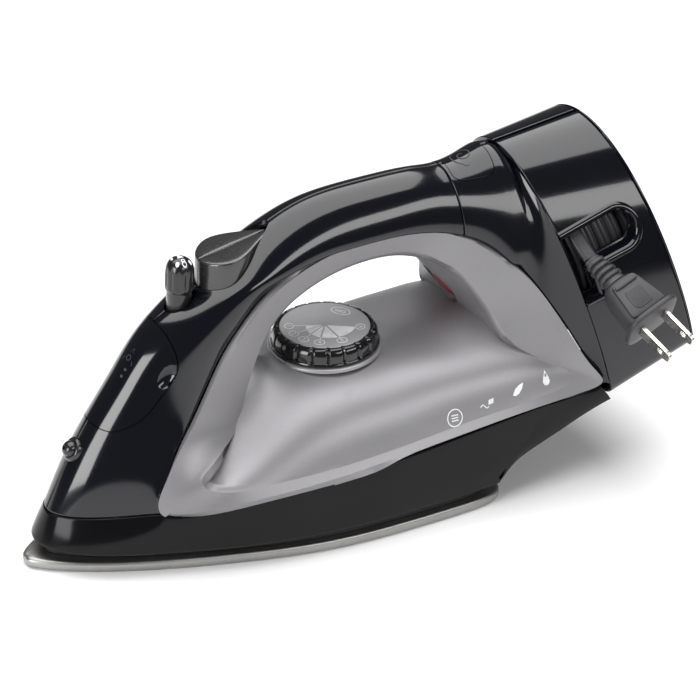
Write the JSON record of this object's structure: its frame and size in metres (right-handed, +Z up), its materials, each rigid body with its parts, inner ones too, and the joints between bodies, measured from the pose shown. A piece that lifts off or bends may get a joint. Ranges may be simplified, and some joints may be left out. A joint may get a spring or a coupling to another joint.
{
  "type": "steam iron with retractable cord",
  "caption": "Steam iron: metal sole, grey saddle and gloss black handle shell, turning dial, steam knob, push buttons, hinged fill door, cord reel drum with plug.",
  "frame": {"origin": "under the middle of the iron, on the plane of the sole's face", "axes": "+X from the nose to the heel, +Y to the side away from the cord slot, +Z up"},
  "size_m": [0.2932, 0.1504, 0.154],
  "materials": {
    "gloss_black": "high gloss",
    "grey_shell": "satin metallic grey",
    "dark_grey": "satin",
    "dial_print": "satin with printed scale",
    "sole_metal": "coated satin",
    "steel": "bright",
    "brass": "nickel plated",
    "rubber": "matte",
    "red_lens": "tinted, clear",
    "smoke_plastic": "translucent smoke",
    "circuit_board": "solder mask",
    "phenolic": "matte"
  },
  "bodies": {
    "case": {"lower_skirt": "gloss_black", "tail_panel": "gloss_black", "handle_shell_right": "gloss_black", "handle_shell_left": "gloss_black", "collar_right": "gloss_black", "collar_left": "gloss_black", "rear_housing_right": "gloss_black", "rear_housing_left": "gloss_black", "cord_slot_bezel": "gloss_black", "back_cover": "gloss_black", "spray_nozzle": "gloss_black", "saddle_shell": "grey_shell", "dial_ring": "grey_shell", "soleplate": "sole_metal", "steam_chamber_cover": "sole_metal", "heating_element": "steel", "reel_axle": "steel", "lever_pin": "steel", "spray_spring": "steel", "steam_spring": "steel", "valve_spring": "steel", "thermostat_body": "steel", "tilt_switch": "steel", "cover_screw_1": "steel", "cover_screw_2": "steel", "cover_screw_3": "steel", "cover_screw_4": "steel", "thermal_fuse": "brass", "plug_blade_1": "brass", "plug_blade_2": "brass", "heel_foot_right": "rubber", "heel_foot_left": "rubber", "cord_lead": "rubber", "strain_relief": "rubber", "plug_body": "rubber", "fill_gasket": "rubber", "indicator_lens": "red_lens", "neon_lamp": "red_lens", "spray_pump": "smoke_plastic", "steam_pump": "smoke_plastic", "spray_tube": "smoke_plastic", "water_tank": "smoke_plastic", "slip_ring_plate": "circuit_board", "auto_off_board": "circuit_board", "heat_shield": "phenolic", "terminal_block": "phenolic"},
    "reel": {"reel_spool": "dark_grey", "cord_winding": "rubber", "return_spring": "steel"},
    "dial": {"temperature_dial": "dark_grey", "dial_face": "dial_print"},
    "steam_control": {"steam_knob": "dark_grey", "steam_valve_rod": "steel", "valve_collar": "brass"},
    "spray_pusher": {"spray_button": "dark_grey"},
    "steam_pusher": {"steam_button": "dark_grey"},
    "rewind_pusher": {"rewind_button": "gloss_black"},
    "brake": {"brake_lever": "dark_grey"},
    "door": {"fill_door": "gloss_black"}
  },
  "joints": [
    {"name": "reel_spin", "type": "hinge", "parent": "case", "child": "reel", "pos_m": [0.08707, 0, 0.09062], "axis": [0.9397, 0, 0.342], "continuous": true},
    {"name": "dial_turn", "type": "hinge", "parent": "case", "child": "dial", "pos_m": [-0.01045, 0, 0.0676], "axis": [-0.061, 0, 0.9981], "range_deg": [-85, 185]},
    {"name": "steam_turn", "type": "hinge", "parent": "case", "child": "steam_control", "pos_m": [-0.07895, 0, 0.11], "axis": [0, 0, 1], "range_deg": [-45, 75]},
    {"name": "spray_push", "type": "slide", "parent": "case", "child": "spray_pusher", "axis": [0, 0, -1], "range_m": [0, 0.003], "stiffness_N_per_m": 300, "springref_m": -0.003, "deforming": ["spray_spring"]},
    {"name": "steam_push", "type": "slide", "parent": "case", "child": "steam_pusher", "axis": [0, 0, -1], "range_m": [0, 0.003], "stiffness_N_per_m": 300, "springref_m": -0.003, "deforming": ["steam_spring"]},
    {"name": "rewind_push", "type": "slide", "parent": "case", "child": "rewind_pusher", "axis": [0.2079, 0, -0.9781], "range_m": [0, 0.002], "stiffness_N_per_m": 400, "springref_m": -0.002},
    {"name": "brake_release", "type": "hinge", "parent": "case", "child": "brake", "pos_m": [0.06555, 0, 0.1275], "axis": [0, -1, 0], "range_deg": [0, 10.5]},
    {"name": "door_open", "type": "hinge", "parent": "case", "child": "door", "pos_m": [-0.11785, 0, 0.0608], "axis": [0, -1, 0], "range_deg": [0, 70]}
  ],
  "couplings": [
    {"joint": "brake_release", "follows": "rewind_push", "rad_per_m": 88}
  ]
}
